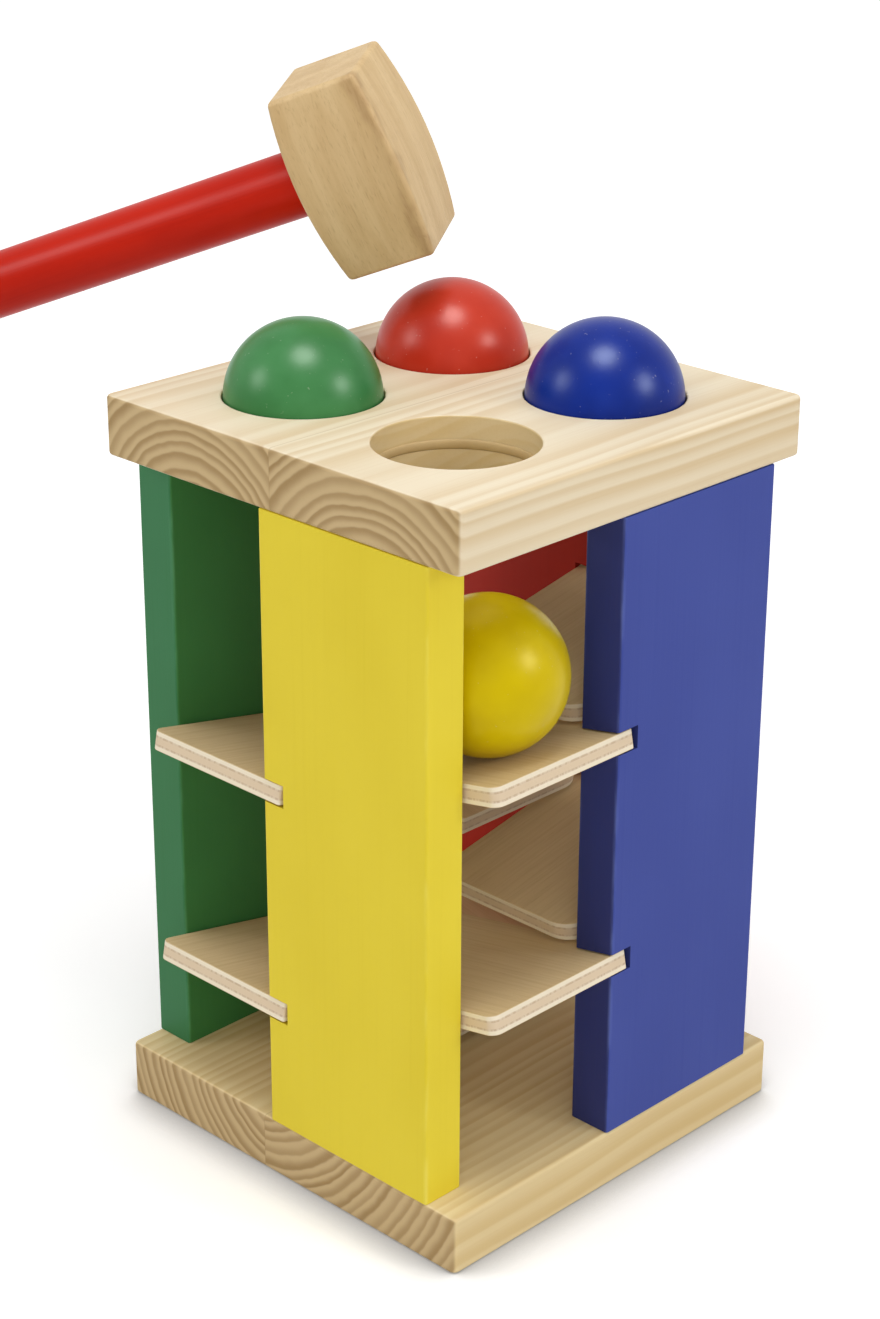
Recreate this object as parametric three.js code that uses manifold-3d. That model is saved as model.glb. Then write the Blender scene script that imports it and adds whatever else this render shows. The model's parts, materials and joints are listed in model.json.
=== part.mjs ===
// Pound and roll tower: a wooden toy whose balls are knocked through holes in the
// top board and roll down a spiral of sloping ramps between four painted panels.
// Millimetres, +Z up, origin at the centre of the base board's underside.
// Looking from above, the panels run yellow, blue, red, green, each a quarter turn on.
import * as THREE from 'three';
import { mergeVertices } from 'three/addons/utils/BufferGeometryUtils.js';
import Module from 'manifold-3d';

const wasm = await Module();
wasm.setup();

// Boards
const boardSide = 141.4;
const boardThickness = 18.2;
const boardCornerRadius = 2.2;
const boardEdgeRadius = 1.2;

// Panels
const panelHeight = 194.1;
const panelWidth = 65.3;
const panelThickness = 14.2;
const panelSetback = 11.4; // board edge to the panel's outer narrow edge
const panelInset = 0; // board edge to the panel's outer wide face
const panelEdgeRadius = 0.9;

// Balls, the holes that they sit in and the elastic rings that hold them
const ballDiameter = 46;
const holePitch = 60.9;
const holeClearance = 0.8;
const holeEdgeEase = 0.6;
const ringCordDiameter = 3;
const ringStandsProud = 1.3; // how far a ring stands out of the hole's wall
const ringAboveUnderside = 9.7;
const ringGrooveClearance = 0.3;
const ballSeatGap = 0.3;

// Ramps
const rampCount = 8;
const rampThickness = 6;
const rampSlope = THREE.MathUtils.degToRad(11);
const rampOverrun = 6; // how far a ramp's low end passes the tower's middle
const rampPassGap = 0.55; // least height of a low end over the next ramp
const rampCornerRadius = 3;
const rampTailRadius = 9; // eases a low end's free corner past the ramp below
const firstRampDrop = 46.7; // top board's underside to the first ramp's high edge
const rampSetback = 0.8; // panel's outer face to a ramp's high edge
const firstRampQuarter = 2; // the first ramp is slotted into the red panel
const slotDepth = 9.4;
const slotEntry = 6; // how far a ramp goes into its slot
const slotClearance = 0.5;
const rampButtGap = 1;
const rollingBallRamp = 1; // counted from 0 at the top
const rollingBallInset = 20; // along the ramp, from its high edge to the ball's contact

// Dowels at the panels' tops, screws up through the base
const fastenerSpacing = 32;
const dowelDiameter = 8;
const dowelLength = 29;
const dowelInBoard = 11;
const dowelChamfer = 1;
const screwDiameter = 4;
const screwLength = 40;
const screwHeadDiameter = 8;
const screwHeadRim = 0.8;
const screwHeadSink = 0.5; // head's face to the base's underside
const screwTipLength = 5;
const fastenerClearance = 0.3;

// Hammer, poised over the red ball
const headLength = 58;
const headEndWidth = 28;
const headMiddleWidth = 33;
const handleLength = 184;
const handleDiameter = 18;
const gripDiameter = 21.5;
const gripEndRadius = 6;
const handleEndChamfer = 1;
const socketDepth = 20;
const socketClearance = 0.3;
const strikeGap = 13; // hammer's face to the red ball
const hammerHeading = THREE.MathUtils.degToRad(116.5);
const hammerDroop = THREE.MathUtils.degToRad(21.5);
const hammerRoll = THREE.MathUtils.degToRad(-11.3);

// Facets
const holeSegments = 32;
const cordSegments = 8;
const grooveSegments = 4;
const ballSegments = 28;
const ballBands = 14;
const cornerSegments = 4;
const edgeSegments = 3;
const fastenerSegments = 10;
const handleSegments = 24;
const barrelSegments = 10;
const throughMargin = 2; // how far a cutter runs past the face that it opens
const weldTolerance = 1e-4;

// Sizes that follow from the values above
const rightAngle = Math.PI / 2;
const panelOuter = boardSide / 2 - panelInset;
const panelInner = panelOuter - panelThickness;
const panelNear = panelSetback - boardSide / 2;
const panelFar = panelNear + panelWidth;
const panelMiddle = (panelNear + panelFar) / 2;
const topUnderside = boardThickness + panelHeight;
const topSurface = topUnderside + boardThickness;
const ballRadius = ballDiameter / 2;
const holeRadius = ballRadius + holeClearance / 2;
const cordRadius = ringCordDiameter / 2;
const ringRadius = holeRadius - ringStandsProud + cordRadius;
const ringHeight = topUnderside + ringAboveUnderside;
const seatReach = ballRadius + cordRadius + ballSeatGap;
const ballHeight = ringHeight + Math.sqrt(seatReach ** 2 - ringRadius ** 2);
const rampOuter = panelOuter - rampSetback;
const rampLength = (rampOuter + rampOverrun) / Math.cos(rampSlope);
const rampSide = panelFar - slotEntry;
const rampWidth = panelInner - rampButtGap - rampSide;
const tailEase = rampTailRadius * (2 - Math.SQRT2);
const rampRunPastPanel = panelInner + rampOverrun - rampButtGap - tailEase;
const rampStep = rampThickness / Math.cos(rampSlope)
  + Math.tan(rampSlope) * rampRunPastPanel + rampPassGap;
const headReach = headLength / 2;

// Paints and woods
const pine = { color: 0xe3c48c, roughness: 0.55, metalness: 0 };
const plywood = { color: 0xc9b08a, roughness: 0.65, metalness: 0 };
const beech = { color: 0xd2ad72, roughness: 0.5, metalness: 0 };
const naturalRubber = { color: 0xc39a58, roughness: 0.6, metalness: 0 };
const zincSteel = { color: 0xb9bcc0, roughness: 0.35, metalness: 1 };
const handleRed = { color: 0xc41f12, roughness: 0.3, metalness: 0 };
const paints = {
  yellow: { color: 0xe0c820, roughness: 0.4, metalness: 0 },
  blue: { color: 0x2c3c94, roughness: 0.4, metalness: 0 },
  red: { color: 0xb52a1e, roughness: 0.4, metalness: 0 },
  green: { color: 0x14713f, roughness: 0.4, metalness: 0 },
};
const panelColours = ['yellow', 'blue', 'red', 'green'];

// Closed bodies for joining and cutting
function weld(geometry) {
  const bare = geometry.clone();
  bare.deleteAttribute('normal');
  bare.deleteAttribute('uv');
  return mergeVertices(bare, weldTolerance);
}

function solidOf(geometry) {
  const welded = weld(geometry);
  const vertProperties = new Float32Array(welded.attributes.position.array);
  const triVerts = new Uint32Array(welded.index.array);
  return new wasm.Manifold(new wasm.Mesh({ numProp: 3, vertProperties, triVerts }));
}

function geometryOf(solid) {
  const { vertProperties, triVerts } = solid.getMesh();
  const geometry = new THREE.BufferGeometry();
  geometry.setAttribute('position', new THREE.BufferAttribute(vertProperties, 3));
  geometry.setIndex(new THREE.BufferAttribute(triVerts, 1));
  geometry.computeVertexNormals();
  return geometry;
}

function cutFrom(blank, cutters) {
  const left = cutters.reduce((body, cutter) => body.subtract(solidOf(cutter)), solidOf(blank));
  return geometryOf(left);
}

function piece(name, geometry, finish) {
  const mesh = new THREE.Mesh(geometry, new THREE.MeshStandardMaterial(finish));
  mesh.name = name;
  return mesh;
}

// Outlines
function roundedRectangle(left, bottom, right, top, radius, tailRadius = radius) {
  const outline = new THREE.Shape();
  outline.absarc(right - radius, bottom + radius, radius, -rightAngle, 0);
  outline.absarc(right - tailRadius, top - tailRadius, tailRadius, 0, rightAngle);
  outline.absarc(left + radius, top - radius, radius, rightAngle, 2 * rightAngle);
  outline.absarc(left + radius, bottom + radius, radius, 2 * rightAngle, 3 * rightAngle);
  return outline;
}

function turned(profile, segments) {
  const geometry = new THREE.LatheGeometry(profile, segments);
  return geometry.rotateX(rightAngle);
}

function profileOf(...points) {
  return points.map(([radius, height]) => new THREE.Vector2(radius, height));
}

function quarterTurn(index) {
  const group = new THREE.Group();
  group.rotation.z = index * rightAngle;
  return group;
}

// Boards: squares with rounded corners and eased edges
function boardBlank(height) {
  const half = boardSide / 2;
  const outline = roundedRectangle(-half, -half, half, half, boardCornerRadius);
  const board = new THREE.ExtrudeGeometry(outline, {
    depth: boardThickness - 2 * boardEdgeRadius,
    bevelThickness: boardEdgeRadius,
    bevelSize: boardEdgeRadius,
    bevelOffset: -boardEdgeRadius,
    bevelSegments: edgeSegments,
    curveSegments: cornerSegments,
  });
  return board.translate(0, 0, height + boardEdgeRadius);
}

// A hole with eased rims and a groove round its wall for the elastic ring
function ballHoleCutter(x, y) {
  const grooveRadius = cordRadius + ringGrooveClearance;
  const halfOpening = Math.acos((holeRadius - ringRadius) / grooveRadius);
  const rim = holeEdgeEase + throughMargin;
  const groove = [];
  for (let step = 0; step <= grooveSegments; step += 1) {
    const angle = halfOpening * (2 * step / grooveSegments - 1);
    groove.push([
      ringRadius + grooveRadius * Math.cos(angle),
      ringHeight + grooveRadius * Math.sin(angle),
    ]);
  }
  const profile = profileOf(
    [0, topUnderside - throughMargin],
    [holeRadius + rim, topUnderside - throughMargin],
    [holeRadius, topUnderside + holeEdgeEase],
    ...groove,
    [holeRadius, topSurface - holeEdgeEase],
    [holeRadius + rim, topSurface + throughMargin],
    [0, topSurface + throughMargin],
  );
  return turned(profile, holeSegments).translate(x, y, 0);
}

function fastenerPlaces() {
  const x = panelInner + panelThickness / 2;
  return [-1, 1].map((side) => [-x, panelMiddle + side * fastenerSpacing / 2]);
}

function dowelHole([x, y]) {
  const radius = dowelDiameter / 2 + fastenerClearance;
  const length = dowelLength + 2 * fastenerClearance;
  const low = topUnderside + dowelInBoard - dowelLength - fastenerClearance;
  const hole = new THREE.CylinderGeometry(radius, radius, length, fastenerSegments);
  return hole.rotateX(rightAngle).translate(x, y, low + length / 2);
}

function screwHole([x, y]) {
  const shank = screwDiameter / 2 + fastenerClearance;
  const head = screwHeadDiameter / 2 + fastenerClearance;
  const rimTop = screwHeadSink + screwHeadRim;
  const profile = profileOf(
    [0, -throughMargin],
    [head, -throughMargin],
    [head, rimTop],
    [shank, rimTop + head - shank],
    [shank, screwHeadSink + screwLength + fastenerClearance],
    [0, screwHeadSink + screwLength + fastenerClearance],
  );
  return turned(profile, fastenerSegments).translate(x, y, 0);
}

function inEveryQuarter(cutter) {
  return panelColours.flatMap((colour, quarter) => fastenerPlaces().map(
    (place) => cutter(place).rotateZ(quarter * rightAngle),
  ));
}

const holePlaces = {
  yellow: [-holePitch / 2, -holePitch / 2],
  blue: [holePitch / 2, -holePitch / 2],
  red: [holePitch / 2, holePitch / 2],
  green: [-holePitch / 2, holePitch / 2],
};

function topBoard() {
  const holes = panelColours.map((colour) => ballHoleCutter(...holePlaces[colour]));
  return cutFrom(boardBlank(topUnderside), [...holes, ...inEveryQuarter(dowelHole)]);
}

function baseBoard() {
  return cutFrom(boardBlank(0), inEveryQuarter(screwHole));
}

// Ramps: plywood plates that fall inwards, each a quarter turn and one step below the last
function rampQuarter(index) {
  return THREE.MathUtils.euclideanModulo(firstRampQuarter - index, panelColours.length);
}

function rampTop(index) {
  return topUnderside - firstRampDrop - index * rampStep;
}

function onRamp(object, index) {
  object.rotation.y = rampSlope;
  object.position.set(-rampOuter, 0, rampTop(index));
  return object;
}

function ramp(index) {
  const far = rampSide + rampWidth;
  const outline = roundedRectangle(0, rampSide, rampLength, far, rampCornerRadius, rampTailRadius);
  const plate = new THREE.ExtrudeGeometry(outline, {
    depth: rampThickness,
    bevelEnabled: false,
    curveSegments: cornerSegments,
  });
  plate.translate(0, 0, -rampThickness);
  return onRamp(piece(`ramp_${index + 1}`, weld(plate), plywood), index);
}

// The slot follows the ramp's slope and is open at the panel's inner narrow edge
function slotCutter(index) {
  const length = 2 * (panelThickness + throughMargin);
  const width = slotDepth + throughMargin;
  const height = rampThickness + 2 * slotClearance;
  const slot = new THREE.BoxGeometry(length, width, height);
  slot.translate(0, panelFar - slotDepth + width / 2, -rampThickness / 2);
  slot.rotateY(rampSlope);
  return slot.translate(-rampOuter, 0, rampTop(index));
}

function panel(quarter) {
  const outline = roundedRectangle(-panelOuter, panelNear, -panelInner, panelFar, panelEdgeRadius);
  const blank = new THREE.ExtrudeGeometry(outline, {
    depth: panelHeight,
    bevelEnabled: false,
    curveSegments: cornerSegments,
  });
  blank.translate(0, 0, boardThickness);
  const ramps = [...Array(rampCount).keys()].filter((index) => rampQuarter(index) === quarter);
  const cutters = [
    ...ramps.map(slotCutter),
    ...fastenerPlaces().map(dowelHole),
    ...fastenerPlaces().map(screwHole),
  ];
  return cutFrom(blank, cutters);
}

// Balls and rings
function ballShape() {
  return weld(new THREE.SphereGeometry(ballRadius, ballSegments, ballBands).rotateX(rightAngle));
}

function ringShape() {
  return weld(new THREE.TorusGeometry(ringRadius, cordRadius, cordSegments, holeSegments));
}

function rollingBall() {
  const clear = ballRadius + ballSeatGap;
  const ball = piece('yellow_ball', ballShape(), paints.yellow);
  ball.position.set(rollingBallInset, panelInner - clear, clear);
  const slope = onRamp(new THREE.Group(), rollingBallRamp);
  slope.add(ball);
  return slope;
}

// Fasteners
function dowel(name, [x, y]) {
  const radius = dowelDiameter / 2;
  const profile = profileOf(
    [0, 0],
    [radius - dowelChamfer, 0],
    [radius, dowelChamfer],
    [radius, dowelLength - dowelChamfer],
    [radius - dowelChamfer, dowelLength],
    [0, dowelLength],
  );
  const peg = piece(name, weld(turned(profile, fastenerSegments)), beech);
  peg.position.set(x, y, topUnderside + dowelInBoard - dowelLength);
  return peg;
}

function screw(name, [x, y]) {
  const shank = screwDiameter / 2;
  const head = screwHeadDiameter / 2;
  const profile = profileOf(
    [0, 0],
    [head, 0],
    [head, screwHeadRim],
    [shank, screwHeadRim + head - shank],
    [shank, screwLength - screwTipLength],
    [0, screwLength],
  );
  const fixing = piece(name, weld(turned(profile, fastenerSegments)), zincSteel);
  fixing.position.set(x, y, screwHeadSink);
  return fixing;
}

// Hammer: local +X runs down the handle to the hand, local -Z is the striking direction
function barrelBlock() {
  const end = headEndWidth / 2;
  const bulge = headMiddleWidth / 2 - end;
  const points = [];
  for (const sign of [1, -1]) {
    for (let step = 0; step <= barrelSegments; step += 1) {
      const along = 2 * step / barrelSegments - 1;
      const out = end + bulge * (1 - along ** 2);
      points.push(new THREE.Vector2(sign * out, sign * along * headReach));
    }
  }
  const outline = new THREE.Shape(points);
  const block = new THREE.ExtrudeGeometry(outline, { depth: headMiddleWidth, bevelEnabled: false });
  return block.translate(0, 0, -headMiddleWidth / 2).rotateX(rightAngle);
}

function hammerHead() {
  const barrel = solidOf(barrelBlock()).intersect(solidOf(barrelBlock().rotateZ(rightAngle)));
  const radius = handleDiameter / 2 + socketClearance;
  const depth = socketDepth + throughMargin;
  const socket = new THREE.CylinderGeometry(radius, radius, depth, handleSegments);
  socket.rotateZ(rightAngle).translate(headMiddleWidth / 2 - socketDepth + depth / 2, 0, 0);
  return geometryOf(barrel.subtract(solidOf(socket)));
}

function hammerHandle() {
  const radius = handleDiameter / 2;
  const grip = gripDiameter / 2;
  const profile = profileOf(
    [0, 0],
    [radius - handleEndChamfer, 0],
    [radius, handleEndChamfer],
    [radius, socketDepth],
  );
  for (let step = 0; step <= cornerSegments; step += 1) {
    const angle = rightAngle * step / cornerSegments;
    profile.push(new THREE.Vector2(
      grip - gripEndRadius + gripEndRadius * Math.cos(angle),
      handleLength - gripEndRadius + gripEndRadius * Math.sin(angle),
    ));
  }
  profile.push(new THREE.Vector2(0, handleLength));
  const rod = new THREE.LatheGeometry(profile, handleSegments).rotateZ(-rightAngle);
  return weld(rod.translate(headMiddleWidth / 2 - socketDepth + socketClearance, 0, 0));
}

function hammer(ballCentre) {
  const group = new THREE.Group();
  group.rotation.set(hammerRoll, hammerDroop, hammerHeading, 'ZYX');
  const back = new THREE.Vector3(0, 0, 1).applyEuler(group.rotation);
  group.position.copy(ballCentre).addScaledVector(back, ballRadius + strikeGap + headReach);
  group.add(piece('hammer_head', hammerHead(), beech));
  group.add(piece('hammer_handle', hammerHandle(), handleRed));
  return group;
}

// Assembly
const tower = new THREE.Group();
tower.add(piece('base_board', baseBoard(), pine));
tower.add(piece('top_board', topBoard(), pine));

panelColours.forEach((colour, quarter) => {
  const turn = quarterTurn(quarter);
  turn.add(piece(`${colour}_panel`, panel(quarter), paints[colour]));
  fastenerPlaces().forEach((place, index) => {
    turn.add(dowel(`${colour}_panel_dowel_${index + 1}`, place));
    turn.add(screw(`${colour}_panel_screw_${index + 1}`, place));
  });
  tower.add(turn);

  const ring = piece(`${colour}_hole_ring`, ringShape(), naturalRubber);
  ring.position.set(...holePlaces[colour], ringHeight);
  tower.add(ring);
});

for (let index = 0; index < rampCount; index += 1) {
  const turn = quarterTurn(rampQuarter(index));
  turn.add(ramp(index));
  if (index === rollingBallRamp) turn.add(rollingBall());
  tower.add(turn);
}

for (const colour of ['blue', 'red', 'green']) {
  const ball = piece(`${colour}_ball`, ballShape(), paints[colour]);
  ball.position.set(...holePlaces[colour], ballHeight);
  tower.add(ball);
}

tower.add(hammer(new THREE.Vector3(...holePlaces.red, ballHeight)));

export default tower;
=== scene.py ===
import json
import math

import bmesh
import bpy
from mathutils import Matrix, Vector


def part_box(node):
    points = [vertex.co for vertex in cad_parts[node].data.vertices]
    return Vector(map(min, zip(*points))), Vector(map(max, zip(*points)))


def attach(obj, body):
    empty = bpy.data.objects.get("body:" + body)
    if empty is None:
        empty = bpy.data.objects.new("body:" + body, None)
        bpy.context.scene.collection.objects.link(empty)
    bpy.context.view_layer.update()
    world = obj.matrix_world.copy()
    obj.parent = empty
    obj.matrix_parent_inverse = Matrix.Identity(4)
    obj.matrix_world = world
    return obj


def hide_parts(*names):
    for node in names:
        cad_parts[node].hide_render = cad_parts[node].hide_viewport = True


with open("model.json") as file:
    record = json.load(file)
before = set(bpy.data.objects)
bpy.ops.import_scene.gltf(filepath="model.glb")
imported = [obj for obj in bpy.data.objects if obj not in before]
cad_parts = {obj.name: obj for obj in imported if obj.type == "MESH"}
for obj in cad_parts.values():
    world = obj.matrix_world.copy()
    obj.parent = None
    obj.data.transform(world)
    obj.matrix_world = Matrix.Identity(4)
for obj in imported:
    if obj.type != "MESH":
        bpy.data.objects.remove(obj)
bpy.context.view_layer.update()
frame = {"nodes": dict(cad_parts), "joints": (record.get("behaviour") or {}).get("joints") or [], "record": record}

mm = 0.001
hair = 0.01 * mm  # points nearer than this are in one place
colours = ("yellow", "blue", "red", "green")  # each panel is a quarter turn on from the last
bodies = frame["record"]["behaviour"]["bodies"]
bodyOf = {node: body for body, nodes in bodies.items() for node in nodes}


# modelling, as by hand

def focus(piece):
    bpy.ops.object.select_all(action="DESELECT")
    bpy.context.view_layer.objects.active = piece
    piece.select_set(True)


def startBlock(name, low, high):
    bpy.ops.object.select_all(action="DESELECT")
    low, high = Vector(low), Vector(high)
    bpy.ops.mesh.primitive_cube_add(size=1, location=(low + high) / 2, scale=high - low)
    block = bpy.context.object
    block.name = name
    bpy.ops.object.transform_apply(location=True, rotation=True, scale=True)
    return block


def selectEdges(piece, wanted):  # by the places of their two ends
    bpy.ops.mesh.select_mode(type="EDGE")
    bpy.ops.mesh.select_all(action="DESELECT")
    shape = bmesh.from_edit_mesh(piece.data)
    for edge in shape.edges:
        edge.select_set(wanted(edge.verts[0].co, edge.verts[1].co))
    bmesh.update_edit_mesh(piece.data)


def roundEdges(piece, wanted, radius, steps):
    focus(piece)
    bpy.ops.object.mode_set(mode="EDIT")
    selectEdges(piece, wanted)
    bpy.ops.mesh.bevel(offset=radius, segments=steps, affect="EDGES")
    bpy.ops.object.mode_set(mode="OBJECT")


def upright(one, other):  # an edge that rises more than it runs
    return abs(one.z - other.z) > (one - other).length / 2


def level(one, other):
    return abs(one.z - other.z) < hair


def raiseRings(name, rings, shadedSides):  # a round piece drawn up from its foot, ring by ring
    bpy.ops.object.select_all(action="DESELECT")
    radius, height = rings[0]
    bpy.ops.mesh.primitive_circle_add(
        vertices=shadedSides, radius=radius, fill_type="NGON", location=(0, 0, height))
    piece = bpy.context.object
    piece.name = name
    bpy.ops.object.transform_apply(location=True, rotation=True, scale=True)
    bpy.ops.object.mode_set(mode="EDIT")
    bpy.ops.mesh.select_all(action="SELECT")
    for (radius, height), (nextRadius, nextHeight) in zip(rings, rings[1:]):
        growth = nextRadius / radius
        bpy.ops.mesh.extrude_region_move(
            TRANSFORM_OT_translate={"value": (0, 0, nextHeight - height)})
        bpy.ops.transform.resize(value=(growth, growth, 1), center_override=(0, 0, nextHeight))
    bpy.ops.mesh.select_all(action="SELECT")
    bpy.ops.mesh.normals_make_consistent(inside=False)
    bpy.ops.object.mode_set(mode="OBJECT")
    return piece


def settle(piece, matrix):  # moves a piece to its place and keeps the place in its mesh
    focus(piece)
    piece.matrix_world = matrix
    bpy.ops.object.transform_apply(location=True, rotation=True, scale=True)
    return piece


def cutAway(piece, tool):
    focus(piece)
    cut = piece.modifiers.new("cut", "BOOLEAN")
    cut.operation = "DIFFERENCE"
    cut.solver = "EXACT"
    cut.object = tool
    bpy.ops.object.modifier_apply(modifier=cut.name)
    bpy.data.objects.remove(tool)


def smooth(piece, angle=35):  # edges that turn by more degrees than this stay sharp
    focus(piece)
    bpy.ops.object.shade_smooth_by_angle(angle=math.radians(angle))
    weigh = piece.modifiers.new("weigh", "WEIGHTED_NORMAL")
    weigh.keep_sharp = True
    bpy.ops.object.modifier_apply(modifier=weigh.name)


def dress(piece, node, material):  # the piece stands for a node, and rides on that node's body
    piece.data.materials.clear()
    piece.data.materials.append(material)
    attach(piece, bodyOf[node])
    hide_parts(node)


def arc(centre, radius, start, end, steps):  # points of a profile, angles in degrees
    angles = [math.radians(start + (end - start) * step / steps) for step in range(steps + 1)]
    return [(centre[0] + radius * math.cos(a), centre[1] + radius * math.sin(a)) for a in angles]


def quarterTurn(index):
    return Matrix.Rotation(index * math.pi / 2, 4, "Z")


# shader maths, as sums on sockets

def tint(red, green, blue):  # a colour as a paint card gives it, 0 to 255
    shares = [value / 255 for value in (red, green, blue)]
    return (*[s / 12.92 if s <= 0.04045 else ((s + 0.055) / 1.055) ** 2.4 for s in shares], 1)


class Wire:
    def __init__(self, tree, socket=None):
        self.tree = tree
        self.socket = socket

    def add(self, kind, settings=None, sockets=None, out=0):
        node = self.tree.nodes.new("ShaderNode" + kind)
        for name, value in (settings or {}).items():
            setattr(node, name, value)
        for name, value in (sockets or {}).items():
            if isinstance(value, Wire):
                self.tree.links.new(value.socket, node.inputs[name])
            else:
                node.inputs[name].default_value = value
        return Wire(self.tree, node.outputs[out] if node.outputs else None)

    def out(self, name):
        return Wire(self.tree, self.socket.node.outputs[name])

    def maths(self, operation, *others):
        return self.add("Math", {"operation": operation}, dict(enumerate((self, *others))))

    def __add__(self, other):
        return self.maths("ADD", other)

    def __sub__(self, other):
        return self.maths("SUBTRACT", other)

    def __mul__(self, other):
        return self.maths("MULTIPLY", other)

    def __truediv__(self, other):
        return self.maths("DIVIDE", other)

    def __rsub__(self, other):
        return self * -1 + other

    def __abs__(self):
        return self.maths("ABSOLUTE")

    __radd__ = __add__
    __rmul__ = __mul__

    def ease(self, low, high):  # 0 up to low, 1 from high, smooth between
        limits = {"Value": self, "From Min": low, "From Max": high}
        return self.add("MapRange", {"interpolation_type": "SMOOTHSTEP"}, limits)

    def share(self, first, second):  # this value is how much of the second colour shows
        return self.add("Mix", {"data_type": "RGBA"}, {0: self, 6: first, 7: second}, 2)

    def axes(self):  # a place's three measures in millimetres
        parts = self.add("SeparateXYZ", {}, {0: self})
        return [parts.out(name) * 1000 for name in "XYZ"]

    def noise(self, perMillimetre, detail, roughness=0.5):  # waves along X, Y and Z
        scale = [value * 1000 for value in perMillimetre]
        stretched = self.add("Mapping", {}, {"Vector": self, "Scale": scale})
        sockets = {"Vector": stretched, "Scale": 1.0, "Detail": detail, "Roughness": roughness}
        return self.add("TexNoise", {}, sockets)


# with a matrix, the pattern is laid out in the piece's own directions
def startMaterial(name, matrix=None):
    material = bpy.data.materials.new(name)
    material.use_nodes = True
    material.node_tree.nodes.clear()
    place = Wire(material.node_tree).add("TexCoord", out="Object")
    if matrix is not None:
        turned = {"Vector": place, "Location": matrix.translation, "Rotation": matrix.to_euler()}
        place = place.add("Mapping", {"vector_type": "TEXTURE"}, turned)
    return material, place


def finishMaterial(place, look, colour, roughness, height):
    bump = place.add("Bump", {}, {"Strength": 1.0, "Distance": look["bump"], "Height": height})
    sockets = {"Base Color": colour, "Roughness": roughness, "Normal": bump, **look["fixed"]}
    surface = place.add("BsdfPrincipled", {}, sockets)
    place.add("OutputMaterial", {}, {"Surface": surface})


facing = (0.5, 0.85)  # how far a face has to look along an axis to count, from not at all to fully


# pine: growth rings round a pith, which runs along X outside the board

pineLook = {
    "endEarly": tint(197, 171, 127), "endLate": tint(157, 128, 84),
    "fibreDark": tint(196, 160, 108), "bore": tint(214, 184, 118),
    "wander": 3.0, "wanderRate": 0.011, "stripShift": 7.3, "unevenness": 2.2, "widthRate": 0.4,
    "darkening": (0.1, 0.75), "paling": (0.8, 1.0), "yearSpread": 0.45,
    "grainShare": 0.6, "cloudRange": (0.4, 0.8), "cloudShare": 0.3, "sideShadeShare": 0.3,
    "fibreRange": (0.45, 0.8), "fibreShare": 0.14,
    "boreWithin": 66, "boreShare": 0.6, "glueWidth": (0.05, 0.25), "glueShare": 0.3,
    "uneven": ((0.008, 0.09, 0.09), 2.0), "fibre": ((0.02, 1.5, 1.5), 3.0, 0.6),
    "cloud": ((0.006, 0.03, 0.03), 2.0),
    "roughness": 0.44, "fibreRough": 0.12, "endRough": 0.15, "fibreHeight": 0.6, "grainHeight": 0.4,
    "bump": 0.05 * mm, "fixed": {"IOR": 1.25},
}


# two glued strips, each with its own pith as (y, z) in millimetres
def pine(name, early, late, ringWidth, joint, nearPith, farPith):
    look = pineLook
    material, place = startMaterial(name)
    x, y, z = place.axes()
    far = y.maths("GREATER_THAN", joint)
    along = {"noise_dimensions": "1D"}
    way = x * look["wanderRate"] + far * look["stripShift"]
    drift = place.add("TexNoise", along, {"W": way, "Scale": 1.0, "Detail": 1.0})
    across = y - far * (farPith[0] - nearPith[0]) - nearPith[0] - (drift - 0.5) * look["wander"]
    up = z - far * (farPith[1] - nearPith[1]) - nearPith[1]
    uneven = place.noise(*look["uneven"])
    radius = (across * across + up * up).maths("SQRT") + (uneven - 0.5) * look["unevenness"]
    count = radius / ringWidth
    years = {"W": count * look["widthRate"], "Scale": 1.0, "Detail": 0.0}
    count = count + place.add("TexNoise", along, years)  # wide years and narrow ones
    ring = count.maths("FRACT")
    dark = ring.ease(*look["darkening"]) * (1 - ring.ease(*look["paling"]))
    year = place.add("TexWhiteNoise", along, {"W": count.maths("FLOOR")})
    grain = dark * (1 - look["yearSpread"] + year * look["yearSpread"])
    fibre = place.noise(*look["fibre"])
    cloud = place.noise(*look["cloud"])
    normal = place.add("SeparateXYZ", {}, {0: place.add("TexCoord", out="Normal")})
    ends = abs(normal.out("X")).ease(*facing)
    inner = abs(x).maths("MAXIMUM", abs(y)).maths("LESS_THAN", look["boreWithin"])
    bore = inner * (1 - abs(normal.out("Z")).ease(*facing))  # the walls of the holes
    # faces that look along Y lean towards the late tone: painted shade on the boards' long sides
    shadedSides = abs(normal.out("Y")).ease(*facing)
    longGrain = grain * look["grainShare"] + cloud.ease(*look["cloudRange"]) * look["cloudShare"]
    longGrain = (longGrain + shadedSides * look["sideShadeShare"]).share(early, late)
    endGrain = grain.share(look["endEarly"], look["endLate"])
    wood = (ends * (1 - bore)).share(longGrain, endGrain)
    wood = (bore * look["boreShare"]).share(wood, look["bore"])
    wood = (fibre.ease(*look["fibreRange"]) * look["fibreShare"]).share(wood, look["fibreDark"])
    glue = (1 - abs(y - joint).ease(*look["glueWidth"])) * look["glueShare"]
    wood = glue.share(wood, look["endLate"])
    roughness = look["roughness"] + fibre * look["fibreRough"] + ends * look["endRough"]
    height = fibre * look["fibreHeight"] + grain * look["grainHeight"] - glue
    finishMaterial(place, look, wood, roughness, height)
    return material


# satin paint over upright grain, thinner on the arrises, with painted light and shade on the narrow faces

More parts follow.
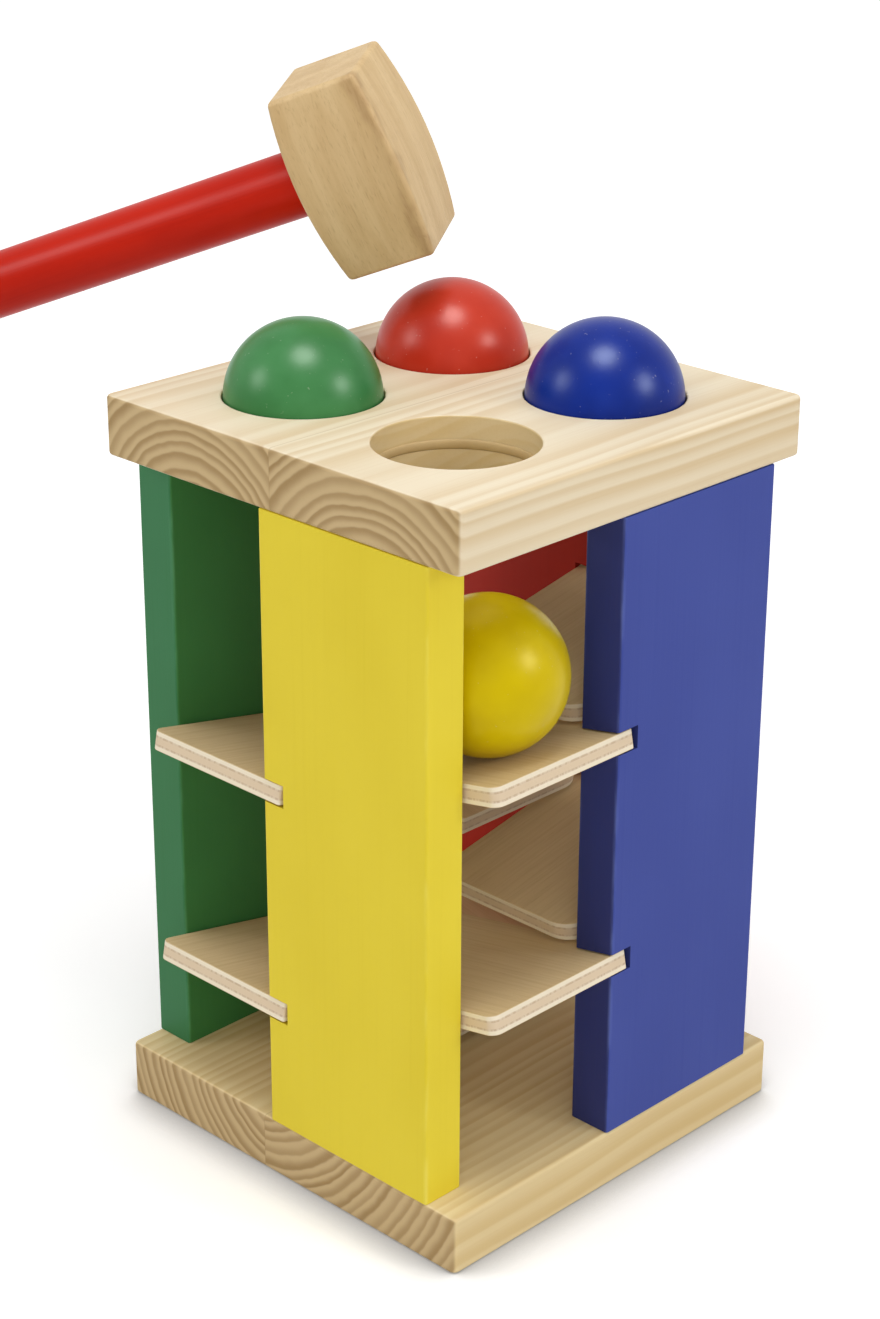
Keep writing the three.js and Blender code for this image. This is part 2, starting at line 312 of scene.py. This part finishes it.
paintLook = {  # four tones of each: wide faces, worn arrises, thick paint, and narrow faces, whose tone is painted light and shade
    "yellow": (tint(226, 204, 54), tint(238, 222, 104), tint(208, 183, 34), tint(230, 208, 56)),
    "blue": (tint(62, 76, 152), tint(98, 112, 178), tint(48, 60, 134), tint(48, 54, 108)),
    "red": (tint(200, 52, 38), tint(208, 88, 70), tint(168, 36, 26), tint(190, 48, 36)),
    "green": (tint(62, 122, 64), tint(90, 148, 104), tint(48, 102, 48), tint(58, 118, 76)),
    "arris": (0.2, 1.4), "wearRange": (0.4, 0.7), "wearShare": 0.5, "narrowFacing": (0.6, 0.8),
    "cloudRange": (0.3, 0.75), "cloudShare": 0.3, "fibreRange": (0.5, 0.8), "fibreShare": 0.12,
    "fibre": ((0.7, 0.7, 0.012), 3.0, 0.6), "cloud": ((0.02, 0.02, 0.012), 2.0),
    "speckle": ((1.8, 1.8, 1.8), 2.0), "wear": ((0.25, 0.25, 0.05), 3.0),
    "roughness": 0.38, "cloudRough": 0.1, "fibreRough": 0.08, "fibreHeight": 0.8, "speckleHeight": 0.2,
    "bump": 0.05 * mm, "fixed": {"IOR": 1.22},
}


def panelPaint(name, colour, node):
    look = paintLook
    material, place = startMaterial(name)
    base, thin, deep, narrowLightAndShade = look[colour]
    low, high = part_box(node)
    normal = place.add("SeparateXYZ", {}, {0: place.add("TexCoord", out="Normal")})
    side = normal.out("X" if high.x - low.x > high.y - low.y else "Y")
    x, y = place.axes()[:2]
    inX = (high.x - low.x) / 2 / mm - abs(x - (low.x + high.x) / 2 / mm)
    inY = (high.y - low.y) / 2 / mm - abs(y - (low.y + high.y) / 2 / mm)
    fibre = place.noise(*look["fibre"])
    cloud = place.noise(*look["cloud"])
    speckle = place.noise(*look["speckle"])
    edge = 1 - inX.maths("MAXIMUM", inY).ease(*look["arris"])
    worn = edge * place.noise(*look["wear"]).ease(*look["wearRange"])
    # the narrow faces take their own tone: painted light and shade, lighter or darker than the wide faces as the
    # lamps fall on them
    paint = abs(side).ease(*look["narrowFacing"]).share(base, narrowLightAndShade)
    thick = cloud.ease(*look["cloudRange"]) * look["cloudShare"]
    thick = thick + fibre.ease(*look["fibreRange"]) * look["fibreShare"]
    paint = thick.share(paint, deep)
    paint = (worn * look["wearShare"]).share(paint, thin)
    roughness = look["roughness"] + cloud * look["cloudRough"] + fibre * look["fibreRough"]
    height = fibre * look["fibreHeight"] + speckle * look["speckleHeight"]
    finishMaterial(place, look, paint, roughness, height)
    return material


# gloss paint on the turned balls

ballLook = {  # three tones of each: thin paint, thick paint, shine
    "yellow": (tint(211, 186, 0), tint(197, 170, 0), tint(255, 247, 170)),
    "blue": (tint(0, 38, 138), tint(0, 28, 116), tint(230, 244, 255)),
    "red": (tint(196, 56, 34), tint(180, 42, 22), tint(255, 240, 234)),
    "green": (tint(67, 131, 76), tint(50, 113, 58), tint(244, 255, 244)),
    "speck": tint(236, 232, 220), "cloud": ((0.05, 0.05, 0.05), 3.0),
    "peel": ((0.9, 0.9, 0.9), 2.0), "dust": ((0.9, 0.9, 0.9), 1.0),
    "cloudRange": (0.3, 0.75), "dustRange": (0.72, 0.8), "dustShare": 0.14,
    "roughness": 0.27, "cloudRough": 0.1, "dustRough": 0.2, "dustHeight": 0.6,
    "bump": 0.018 * mm, "ior": 1.29, "cutLevels": 5,
}


def ballPaint(name, colour):
    material, place = startMaterial(name)
    base, deep, shine = ballLook[colour]
    look = {**ballLook, "fixed": {"IOR": ballLook["ior"], "Specular Tint": shine}}
    cloud = place.noise(*look["cloud"])
    peel = place.noise(*look["peel"])
    dust = place.noise(*look["dust"]).ease(*look["dustRange"])
    paint = cloud.ease(*look["cloudRange"]).share(base, deep)
    paint = (dust * look["dustShare"]).share(paint, look["speck"])
    roughness = look["roughness"] + cloud * look["cloudRough"] + dust * look["dustRough"]
    finishMaterial(place, look, paint, roughness, peel + dust * look["dustHeight"])
    return material


# plywood: pale outer plies and a pinkish core on the edges, fine grain down the slope on the faces

plyLook = {
    "face": tint(224, 200, 155), "streak": tint(198, 169, 124), "pore": tint(166, 135, 94),
    "pale": tint(236, 223, 198), "core": tint(219, 197, 167), "cross": tint(188, 158, 128),
    "coreDepth": (0.2, 0.6), "crossDepth": 0.42, "crossWidth": (0.06, 0.16), "faceDepth": (0.9, 0.97),
    "slopeRange": (0.35, 0.75), "slopeShare": 0.4, "cloudShare": 0.35,
    "poreRange": (0.6, 0.75), "poreShare": 0.2, "checkRange": (0.4, 0.6), "crossShare": 0.3,
    "checkShare": 0.4,
    "downSlope": ((0.02, 0.8, 0.8), 3.0, 0.6), "cloud": ((0.012, 0.04, 0.04), 2.0),
    "pores": ((0.12, 2.4, 2.4), 2.0), "checks": ((0.9, 0.9, 0.25), 2.0),
    "roughness": 0.55, "slopeRough": 0.15, "slopeHeight": 0.5, "poreHeight": 0.4, "crossHeight": 0.6,
    "bump": 0.06 * mm, "fixed": {"IOR": 1.2},
}


def plywood(name, matrix, thickness):
    look = plyLook
    material, place = startMaterial(name, matrix)
    half = thickness / mm / 2
    depth = abs(place.axes()[2] + half) / half  # 0 in the middle of the plate, 1 on its faces
    downSlope = place.noise(*look["downSlope"])
    cloud = place.noise(*look["cloud"])
    pores = place.noise(*look["pores"]).ease(*look["poreRange"])
    checks = place.noise(*look["checks"]).ease(*look["checkRange"])
    streaks = downSlope.ease(*look["slopeRange"]) * look["slopeShare"] + cloud * look["cloudShare"]
    face = streaks.share(look["face"], look["streak"])
    face = (pores * look["poreShare"]).share(face, look["pore"])
    edge = depth.ease(*look["coreDepth"]).share(look["core"], look["pale"])
    crossPly = 1 - abs(depth - look["crossDepth"]).ease(*look["crossWidth"])
    crossPly = crossPly * (look["crossShare"] + checks * look["checkShare"])
    edge = crossPly.share(edge, look["cross"])
    wood = depth.ease(*look["faceDepth"]).share(edge, face)
    height = downSlope * look["slopeHeight"] - pores * look["poreHeight"] - crossPly * look["crossHeight"]
    finishMaterial(place, look, wood, look["roughness"] + downSlope * look["slopeRough"], height)
    return material


# close-grained hardwood of the hammer head and the dowels, grain along the piece's own Z

hardwoodLook = {
    "pale": tint(216, 187, 139), "tan": tint(194, 160, 110), "pore": tint(158, 122, 76),
    "heart": tint(142, 104, 62), "heartCurve": 0.006, "heartWave": 7, "heartWidth": (0.3, 3.2),
    "heartShare": 0.1, "heartFibre": 0.5, "patchRange": (0.35, 0.65),
    "bandRange": (0.3, 0.7), "bandShare": 0.7, "fibreRange": (0.35, 0.8), "fibreShare": 0.4,
    "poreRange": (0.55, 0.72), "poreShare": 0.25,
    "band": ((0.09, 0.16, 0.006), 3.0, 0.55), "fibre": ((0.9, 0.9, 0.03), 3.0, 0.6),
    "pores": ((2.6, 2.6, 0.3), 2.0, 0.5), "wavy": ((0.07, 0.07, 0.08), 3.0),
    "patchy": ((0.12, 0.12, 0.1), 2.0),
    "roughness": 0.36, "fibreRough": 0.12, "fibreHeight": 0.5, "poreHeight": 0.6,
    "bump": 0.06 * mm, "fixed": {"IOR": 1.28},
}


def hardwood(name, matrix=None, heart=0):
    look = hardwoodLook
    material, place = startMaterial(name, matrix)
    band = place.noise(*look["band"])
    fibre = place.noise(*look["fibre"])
    pores = place.noise(*look["pores"]).ease(*look["poreRange"])
    wood = (band.ease(*look["bandRange"]) * look["bandShare"]).share(look["pale"], look["tan"])
    wood = (fibre.ease(*look["fibreRange"]) * look["fibreShare"]).share(wood, look["tan"])
    wood = (pores * look["poreShare"]).share(wood, look["pore"])
    if heart:  # a brown line in the wood, as far from the piece's middle as this
        x, y, z = place.axes()
        wavy = place.noise(*look["wavy"]) * look["heartWave"]
        patchy = place.noise(*look["patchy"]).ease(*look["patchRange"])
        line = y - x + z * z * look["heartCurve"] + wavy - heart
        line = (1 - abs(line).ease(*look["heartWidth"])) * patchy
        line = line * (look["heartShare"] + fibre * look["heartFibre"])
        wood = line.share(wood, look["heart"])
    roughness = look["roughness"] + fibre * look["fibreRough"]
    height = fibre * look["fibreHeight"] - pores * look["poreHeight"]
    finishMaterial(place, look, wood, roughness, height)
    return material


# gloss paint on the handle

handleLook = {
    "red": tint(192, 30, 4), "deep": tint(168, 20, 2),
    "fibre": ((0.7, 0.7, 0.012), 3.0, 0.6), "cloud": ((0.06, 0.06, 0.02), 3.0),
    "cloudRange": (0.3, 0.75), "cloudShare": 0.6, "fibreRange": (0.5, 0.8), "fibreShare": 0.3,
    "roughness": 0.28, "cloudRough": 0.12, "bump": 0.04 * mm, "fixed": {"IOR": 1.2},
}


def handlePaint(name, matrix):
    look = handleLook
    material, place = startMaterial(name, matrix)
    fibre = place.noise(*look["fibre"])
    cloud = place.noise(*look["cloud"])
    thick = cloud.ease(*look["cloudRange"]) * look["cloudShare"]
    thick = thick + fibre.ease(*look["fibreRange"]) * look["fibreShare"]
    paint = thick.share(look["red"], look["deep"])
    finishMaterial(place, look, paint, look["roughness"] + cloud * look["cloudRough"], fibre)
    return material


# natural rubber of the rings

rubberLook = {
    "tan": tint(198, 170, 116), "brown": tint(188, 158, 104),
    "cloud": ((0.2, 0.2, 0.2), 3.0), "grit": ((4.0, 4.0, 4.0), 2.0),
    "roughness": 0.6, "gritRough": 0.2, "bump": 0.03 * mm, "fixed": {},
}


def rubber(name):
    look = rubberLook
    material, place = startMaterial(name)
    grit = place.noise(*look["grit"])
    gum = place.noise(*look["cloud"]).share(look["tan"], look["brown"])
    finishMaterial(place, look, gum, look["roughness"] + grit * look["gritRough"], grit)
    return material


# zinc-plated steel of the screws

steelLook = {
    "bright": tint(214, 216, 220), "dull": tint(168, 170, 174),
    "cloud": ((0.8, 0.8, 0.8), 3.0), "scratch": ((0.3, 6.0, 6.0), 2.0),
    "roughness": 0.25, "scratchRough": 0.2, "bump": 0.01 * mm, "fixed": {"Metallic": 1.0},
}


def steel(name):
    look = steelLook
    material, place = startMaterial(name)
    scratch = place.noise(*look["scratch"])
    metal = place.noise(*look["cloud"]).share(look["bright"], look["dull"])
    roughness = look["roughness"] + scratch * look["scratchRough"]
    finishMaterial(place, look, metal, roughness, scratch)
    return material


# boards, with a groove in each hole for an elastic ring

cords = {  # the rings' round section, pressed against its groove
    "radius": 1.5 * mm, "flatten": 0.4, "clearance": 0.04 * mm, "grooveSteps": 10,
    "sectionSides": 16, "spinSteps": 96,
}

boards = {
    "cornerRadius": 2.2 * mm, "cornerSteps": 6, "arrisRadius": 1.2 * mm, "arrisSteps": 4,
    "holeRadius": 23.4 * mm, "holeEase": 0.6 * mm, "easeSteps": 4, "holeSides": 128,
    "cutPast": 2 * mm,
    "topPine": {
        "early": tint(234, 221, 194), "late": tint(214, 189, 148),
        "ringWidth": 3.6, "joint": 1, "nearPith": (-38, 186), "farPith": (32, 190)},
    # the base's pine tones are yellower than the top's: partly the wood's own tone, partly painted yellow light
    # bounced down from the panels
    "basePine": {
        "early": tint(229, 209, 162), "late": tint(207, 177, 120),
        "ringWidth": 3.6, "joint": 9, "nearPith": (16, 50), "farPith": (4, 30)},
}


def startBoard(name, node):
    low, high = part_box(node)
    board = startBlock(name, low, high)
    roundEdges(board, upright, boards["cornerRadius"], boards["cornerSteps"])
    roundEdges(board, level, boards["arrisRadius"], boards["arrisSteps"])
    return board


def ballHoleTool(colour):
    low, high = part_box("top_board")
    ringLow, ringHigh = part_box(colour + "_hole_ring")
    centre = (ringLow + ringHigh) / 2
    radius, ease = boards["holeRadius"], boards["holeEase"]
    ringRadius = (ringHigh.x - ringLow.x) / 2 - cords["radius"]
    tall = cords["radius"] + cords["clearance"]
    deep = cords["radius"] * cords["flatten"] + cords["clearance"]
    opening = math.degrees(math.acos((radius - ringRadius) / deep))
    groove = arc((0, 0), 1, -opening, opening, cords["grooveSteps"])
    rings = [(radius + ease, low.z - boards["cutPast"])]
    rings += arc((radius + ease, low.z + ease), ease, 270, 180, boards["easeSteps"])
    rings += [(ringRadius + out * deep, centre.z + up * tall) for out, up in groove]
    rings += arc((radius + ease, high.z - ease), ease, 180, 90, boards["easeSteps"])
    rings += [(radius + ease, high.z + boards["cutPast"])]
    tool = raiseRings("holeTool", rings, boards["holeSides"])
    return settle(tool, Matrix.Translation((centre.x, centre.y, 0)))


topBoard = startBoard("topBoard", "top_board")
for colour in colours:
    cutAway(topBoard, ballHoleTool(colour))
smooth(topBoard)
dress(topBoard, "top_board", pine("topPine", **boards["topPine"]))

baseBoard = startBoard("baseBoard", "base_board")
smooth(baseBoard)
dress(baseBoard, "base_board", pine("basePine", **boards["basePine"]))
print("boards made")


# ramps, and the slots that they sit in

ramps = {
    "slope": math.radians(11), "thickness": 6 * mm,
    "cornerRadius": 3 * mm, "tailRadius": 9 * mm, "seatRadius": 0.8 * mm, "cornerSteps": 6,
    "arrisRadius": 0.3 * mm, "arrisSteps": 2, "seatExtra": 0.6 * mm,
    "slotDepth": 8.2 * mm, "slotClearance": 0.5 * mm, "cutPast": 2 * mm,
    "seats": {"yellow": (3, 7), "blue": (2, 6), "red": (1, 5), "green": (4, 8)},
}


def boxInQuarter(node, quarter):
    low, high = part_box(node)
    back = quarterTurn(-quarter)
    one, other = back @ low, back @ high
    return Vector(map(min, one, other)), Vector(map(max, one, other))


def rampFrame(number, quarter):  # the ramp's top outer edge as origin, X down the slope
    low, high = boxInQuarter("ramp_%d" % number, quarter)
    lean = ramps["thickness"] * math.sin(ramps["slope"])
    corner = Matrix.Translation((low.x + lean, 0, high.z))
    matrix = quarterTurn(quarter) @ corner @ Matrix.Rotation(ramps["slope"], 4, "Y")
    length = (high.x - low.x - lean) / math.cos(ramps["slope"])
    return matrix, length, low.y, high.y


def makeRamp(number, quarter):
    matrix, length, near, far = rampFrame(number, quarter)
    near -= ramps["seatExtra"]  # a little deeper in its slot
    ramp = startBlock("ramp%d" % number, (0, near, -ramps["thickness"]), (length, far, 0))

    def atSeat(one, other):  # the two corners in the slot
        return upright(one, other) and one.y + other.y < near + far

    def atTail(one, other):  # the low end's free corner
        return upright(one, other) and not atSeat(one, other) and one.x + other.x > length

    def atHead(one, other):  # the high end's free corner
        return upright(one, other) and not atSeat(one, other) and one.x + other.x < length

    roundEdges(ramp, atTail, ramps["tailRadius"], ramps["cornerSteps"])
    roundEdges(ramp, atHead, ramps["cornerRadius"], ramps["cornerSteps"])
    roundEdges(ramp, atSeat, ramps["seatRadius"], ramps["cornerSteps"])
    roundEdges(ramp, level, ramps["arrisRadius"], ramps["arrisSteps"])
    settle(ramp, matrix)
    smooth(ramp)
    dress(ramp, "ramp_%d" % number, plywood("plywood%d" % number, matrix, ramps["thickness"]))


def slotTool(number, quarter):
    panelLow, panelHigh = boxInQuarter(colours[quarter] + "_panel", quarter)
    matrix = rampFrame(number, quarter)[0]
    reach = panelHigh.x - panelLow.x + ramps["cutPast"]
    low = (-reach, panelHigh.y - ramps["slotDepth"], -ramps["thickness"] - ramps["slotClearance"])
    high = (reach, panelHigh.y + ramps["cutPast"], ramps["slotClearance"])
    return settle(startBlock("slotTool", low, high), matrix)


# painted panels

panels = {"arrisRadius": 0.9 * mm, "arrisSteps": 5, "endEase": 0.3 * mm, "endSteps": 2}

for quarter, colour in enumerate(colours):
    node = colour + "_panel"
    panel = startBlock(colour + "Panel", *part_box(node))
    roundEdges(panel, upright, panels["arrisRadius"], panels["arrisSteps"])
    roundEdges(panel, level, panels["endEase"], panels["endSteps"])
    for number in ramps["seats"][colour]:
        cutAway(panel, slotTool(number, quarter))
        makeRamp(number, quarter)
    smooth(panel)
    dress(panel, node, panelPaint(colour + "Paint", colour, node))
print("panels and ramps made")


# balls: a block drawn out to a sphere, so that no poles show

for colour in colours:
    node = colour + "_ball"
    low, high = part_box(node)
    ball = startBlock(colour + "Ball", (low - high) / 2, (high - low) / 2)
    focus(ball)
    fine = ball.modifiers.new("fine", "SUBSURF")
    fine.levels = fine.render_levels = ballLook["cutLevels"]
    bpy.ops.object.modifier_apply(modifier=fine.name)
    cast = ball.modifiers.new("cast", "CAST")
    cast.factor = 1
    cast.use_radius_as_size = False
    cast.size = (high.z - low.z) / 2
    bpy.ops.object.modifier_apply(modifier=cast.name)
    settle(ball, Matrix.Translation((low + high) / 2))
    bpy.ops.object.shade_smooth()
    dress(ball, node, ballPaint(colour + "Gloss", colour))


# elastic rings: a flattened section spun about the hole's middle

def makeRing(colour, material):
    node = colour + "_hole_ring"
    low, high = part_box(node)
    cord = (high.z - low.z) / 2
    radius = (high.x - low.x) / 2 - cord
    bpy.ops.object.select_all(action="DESELECT")
    bpy.ops.mesh.primitive_circle_add(vertices=cords["sectionSides"], radius=cord,
                                      rotation=(math.pi / 2, 0, 0), location=(radius, 0, 0))
    ring = bpy.context.object
    ring.name = colour + "Ring"
    ring.scale.x = cords["flatten"]
    bpy.ops.object.transform_apply(location=True, rotation=True, scale=True)
    bpy.ops.object.mode_set(mode="EDIT")
    bpy.ops.mesh.select_all(action="SELECT")
    bpy.ops.mesh.spin(steps=cords["spinSteps"], angle=2 * math.pi, center=(0, 0, 0), axis=(0, 0, 1))
    bpy.ops.mesh.select_all(action="SELECT")
    bpy.ops.mesh.remove_doubles(threshold=hair)
    bpy.ops.mesh.normals_make_consistent(inside=False)
    bpy.ops.object.mode_set(mode="OBJECT")
    settle(ring, Matrix.Translation((low + high) / 2))
    bpy.ops.object.shade_smooth()
    dress(ring, node, material)


ringRubber = rubber("ringRubber")
for colour in colours:
    makeRing(colour, ringRubber)
print("balls and rings made")


# screws under the base, and the dowels inside

screws = {
    "shank": 2 * mm, "head": 4 * mm, "rim": 0.8 * mm, "tip": 5 * mm, "tipRadius": 0.15 * mm,
    "shadedSides": 40, "crossLength": 4.6 * mm, "crossWidth": 0.9 * mm, "crossDepth": 1.8 * mm,
    "smoothAngle": 30,
}


def startScrew(length):
    rings = [(screws["head"], 0), (screws["head"], screws["rim"]),
             (screws["shank"], screws["rim"] + screws["head"] - screws["shank"]),
             (screws["shank"], length - screws["tip"]), (screws["tipRadius"], length)]
    screw = raiseRings("screw", rings, screws["shadedSides"])
    long, wide = screws["crossLength"] / 2, screws["crossWidth"] / 2
    for halfX, halfY in ((long, wide), (wide, long)):
        low, high = (-halfX, -halfY, -screws["crossDepth"]), (halfX, halfY, screws["crossDepth"])
        cutAway(screw, startBlock("crossTool", low, high))
    smooth(screw, screws["smoothAngle"])
    return screw


screwSteel = steel("screwSteel")
dowelWood = hardwood("dowelWood")
firstLow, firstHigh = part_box("yellow_panel_screw_1")
pattern = startScrew(firstHigh.z - firstLow.z)
for colour in colours:
    for number in (1, 2):
        node = "%s_panel_screw_%d" % (colour, number)
        low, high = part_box(node)
        screw = pattern.copy()
        screw.data = pattern.data.copy()
        screw.name = "%sScrew%d" % (colour, number)
        bpy.context.scene.collection.objects.link(screw)
        middle = (low + high) / 2
        settle(screw, Matrix.Translation((middle.x, middle.y, low.z)))
        dress(screw, node, screwSteel)
        dowel = frame["nodes"]["%s_panel_dowel_%d" % (colour, number)]
        dowel.data.materials.clear()
        dowel.data.materials.append(dowelWood)
bpy.data.objects.remove(pattern)
print("screws and dowels made")


# hammer: its directions come from its joint, which turns at the grip

hammer = {
    "length": 58 * mm, "endWidth": 28 * mm, "middleWidth": 33 * mm, "rows": 11,
    "arrisRadius": 1.5 * mm, "arrisSteps": 5, "sharpAngle": math.radians(40), "heart": 34.5,
    "neckRadius": 10 * mm, "gripRadius": 9.8 * mm, "handleLength": 184 * mm, "shadedSides": 64,
    "socketDepth": 20 * mm, "socketClearance": 0.3 * mm, "endChamfer": 1 * mm,
    "gripEnd": 6 * mm, "gripSteps": 8, "smoothAngle": 30,
}

swing = next(joint for joint in frame["joints"] if joint["name"] == "hammer_swing")
headLow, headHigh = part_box("hammer_head")
headCentre = (headLow + headHigh) / 2
toHand = (Vector(swing["pos_m"]) - headCentre).normalized()
sideways = -Vector(swing["axis"]).normalized()
hammerFrame = Matrix((toHand, sideways, toHand.cross(sideways))).transposed().to_4x4()
hammerFrame.translation = headCentre
lengthwise = Matrix(((0, 0, 1, 0), (1, 0, 0, 0), (0, 1, 0, 0), (0, 0, 0, 1)))  # Z to the hammer's X
handleFrame = hammerFrame @ lengthwise


def makeHead():
    half = Vector((hammer["middleWidth"], hammer["middleWidth"], hammer["length"])) / 2
    head = startBlock("hammerHead", -half, half)
    focus(head)
    bpy.ops.object.mode_set(mode="EDIT")
    selectEdges(head, upright)
    bpy.ops.mesh.subdivide(number_cuts=hammer["rows"])
    rowCount = hammer["rows"] + 1
    bpy.ops.mesh.select_mode(type="VERT")
    for row in range(rowCount + 1):  # the sides swell to the middle
        height = half.z * (2 * row / rowCount - 1)
        width = hammer["endWidth"]
        width += (hammer["middleWidth"] - width) * (1 - (height / half.z) ** 2)
        bpy.ops.mesh.select_all(action="DESELECT")
        shape = bmesh.from_edit_mesh(head.data)
        for vert in shape.verts:
            vert.select_set(abs(vert.co.z - height) < hair)
        shape.select_flush_mode()
        growth = width / hammer["middleWidth"]
        bpy.ops.transform.resize(value=(growth, growth, 1), center_override=(0, 0, height))
    bpy.ops.mesh.select_mode(type="EDGE")
    bpy.ops.mesh.select_all(action="DESELECT")
    bpy.ops.mesh.edges_select_sharp(sharpness=hammer["sharpAngle"])
    bpy.ops.mesh.bevel(offset=hammer["arrisRadius"], segments=hammer["arrisSteps"], affect="EDGES")
    bpy.ops.object.mode_set(mode="OBJECT")
    foot = hammer["middleWidth"] / 2 - hammer["socketDepth"]
    radius = hammer["neckRadius"] + hammer["socketClearance"]
    rings = [(radius, foot), (radius, hammer["middleWidth"])]
    cutAway(head, settle(raiseRings("socketTool", rings, hammer["shadedSides"]), lengthwise))
    settle(head, hammerFrame)
    smooth(head, hammer["smoothAngle"])
    dress(head, "hammer_head", hardwood("headWood", hammerFrame, hammer["heart"]))


def makeHandle():
    foot = hammer["middleWidth"] / 2 - hammer["socketDepth"] + hammer["socketClearance"]
    neck, chamfer, bend = hammer["neckRadius"], hammer["endChamfer"], hammer["gripEnd"]
    end = foot + hammer["handleLength"]
    rings = [(neck - chamfer, foot), (neck, foot + chamfer), (neck, foot + hammer["socketDepth"])]
    rings += arc((hammer["gripRadius"] - bend, end - bend), bend, 0, 90, hammer["gripSteps"])
    handle = raiseRings("hammerHandle", rings, hammer["shadedSides"])
    settle(handle, handleFrame)
    smooth(handle, hammer["smoothAngle"])
    dress(handle, "hammer_handle", handlePaint("handleGloss", handleFrame))


makeHead()
makeHandle()
print("hammer made")


# floor, lamps and camera

studio = {
    "floorSide": 14, "floorGrey": 0.8, "fill": 0.66,
    "shadowReach": 0.02, "shadowRange": (0.4, 0.95), "shadowGrey": 0.35, "shadowSamples": 16,
    "floorGlow": 0.36, "glowNear": 0.42, "glowFrom": 0.12, "glowFull": 0.7,
    "aim": Vector((0, 0, 0.13)),
    "lamps": {  # bearing and height in degrees, distance and width in metres, watts
        "overheadLamp": (-135, 80, 1.1, 0.5, 3.75),
        "rightLamp": (-71, 27, 1.15, 0.26, 1.74),
        "leftLamp": (141, 30, 1.15, 0.26, 1.24),
        "frontLamp": (-136, 18, 1.2, 0.6, 2.12),
    },
    "shines": {  # seen only as highlights
        "overheadShine": (-135, 78, 1.1, 0.5, 14.2),
        "rightShine": (-71, 29, 1.15, 0.4, 7.8),
        "leftShine": (149, 30, 1.15, 0.4, 4.8),
    },
}


def seenByEye(place):  # camera rays, and rays mirrored or bent on their way to it
    path = place.add("LightPath", out="Is Camera Ray")
    both = path.maths("MAXIMUM", path.out("Is Glossy Ray"))
    return both.maths("MAXIMUM", path.out("Is Transmission Ray"))


def grey(level):
    return (level, level, level, 1)


def placeLamp(name, bearing, height, distance, width, watts):
    light = bpy.data.lights.new(name, "AREA")
    light.energy = watts
    light.shape = "DISK"
    light.size = width
    lamp = bpy.data.objects.new(name, light)
    bpy.context.scene.collection.objects.link(lamp)
    turn, lift = math.radians(bearing), math.radians(height)
    way = Vector((math.cos(turn) * math.cos(lift), math.sin(turn) * math.cos(lift), math.sin(lift)))
    lamp.location = studio["aim"] + way * distance
    lamp.rotation_euler = way.to_track_quat("Z", "Y").to_euler()
    return lamp


white = grey(1)
bpy.ops.object.select_all(action="DESELECT")
bpy.ops.mesh.primitive_plane_add(size=studio["floorSide"])
floor = bpy.context.object
floor.name = "floor"
floorWhite = bpy.data.materials.new("floorWhite")
floorWhite.use_nodes = True
floorWhite.node_tree.nodes.clear()
sheet = Wire(floorWhite.node_tree)
bounce = sheet.add("BsdfDiffuse", {}, {"Color": grey(studio["floorGrey"])})
shadow = {"Distance": studio["shadowReach"]}
near = sheet.add("AmbientOcclusion", {"samples": studio["shadowSamples"]}, shadow, "AO")
shade = near.ease(*studio["shadowRange"]).share(grey(studio["shadowGrey"]), white)
shown = sheet.add("BsdfDiffuse", {}, {"Color": shade})
place = sheet.add("TexCoord", out="Object")
reach = sheet.add("VectorMath", {"operation": "LENGTH"}, {0: place}, "Value")
far = reach.ease(studio["glowFrom"], studio["glowFull"])  # where the lamps no longer reach
tone = far.share(grey(studio["glowNear"]), white)
glow = sheet.add("Emission", {}, {"Color": tone, "Strength": studio["floorGlow"]})
lit = sheet.add("AddShader", {}, {0: shown, 1: glow})
mixed = sheet.add("MixShader", {}, {0: seenByEye(sheet), 1: bounce, 2: lit})
sheet.add("OutputMaterial", {}, {"Surface": mixed})
floor.data.materials.append(floorWhite)

world = bpy.data.worlds.new("studio")
world.use_nodes = True
world.node_tree.nodes.clear()
sheet = Wire(world.node_tree)
fill = sheet.add("Background", {}, {"Color": white, "Strength": studio["fill"]})
backdrop = sheet.add("Background", {}, {"Color": white, "Strength": 1.0})
mixed = sheet.add("MixShader", {}, {0: seenByEye(sheet), 1: fill, 2: backdrop})
sheet.add("OutputWorld", {}, {"Surface": mixed})
bpy.context.scene.world = world

for name, setting in studio["lamps"].items():
    placeLamp(name, *setting).visible_glossy = False
for name, setting in studio["shines"].items():
    placeLamp(name, *setting).visible_diffuse = False

view = {  # metres, radians and pixels of the fitted camera
    "place": (-0.54499, -0.52795, 0.46565), "heading": 0.79639, "pitch": 0.39612, "roll": 0.00431,
    "focalPixels": 2769, "imageHeight": 1319, "sensor": 36,
}
lens = bpy.data.cameras.new("camera")
lens.sensor_width = view["sensor"]
lens.lens = view["focalPixels"] * view["sensor"] / view["imageHeight"]
camera = bpy.data.objects.new("camera", lens)
bpy.context.scene.collection.objects.link(camera)
aimed = Matrix.Rotation(-view["heading"], 4, "Z") @ Matrix.Rotation(math.pi / 2 - view["pitch"], 4, "X")
camera.matrix_world = Matrix.Translation(view["place"]) @ aimed @ Matrix.Rotation(view["roll"], 4, "Z")
bpy.context.scene.camera = camera
bpy.context.scene.view_settings.view_transform = "Standard"
print("studio ready")
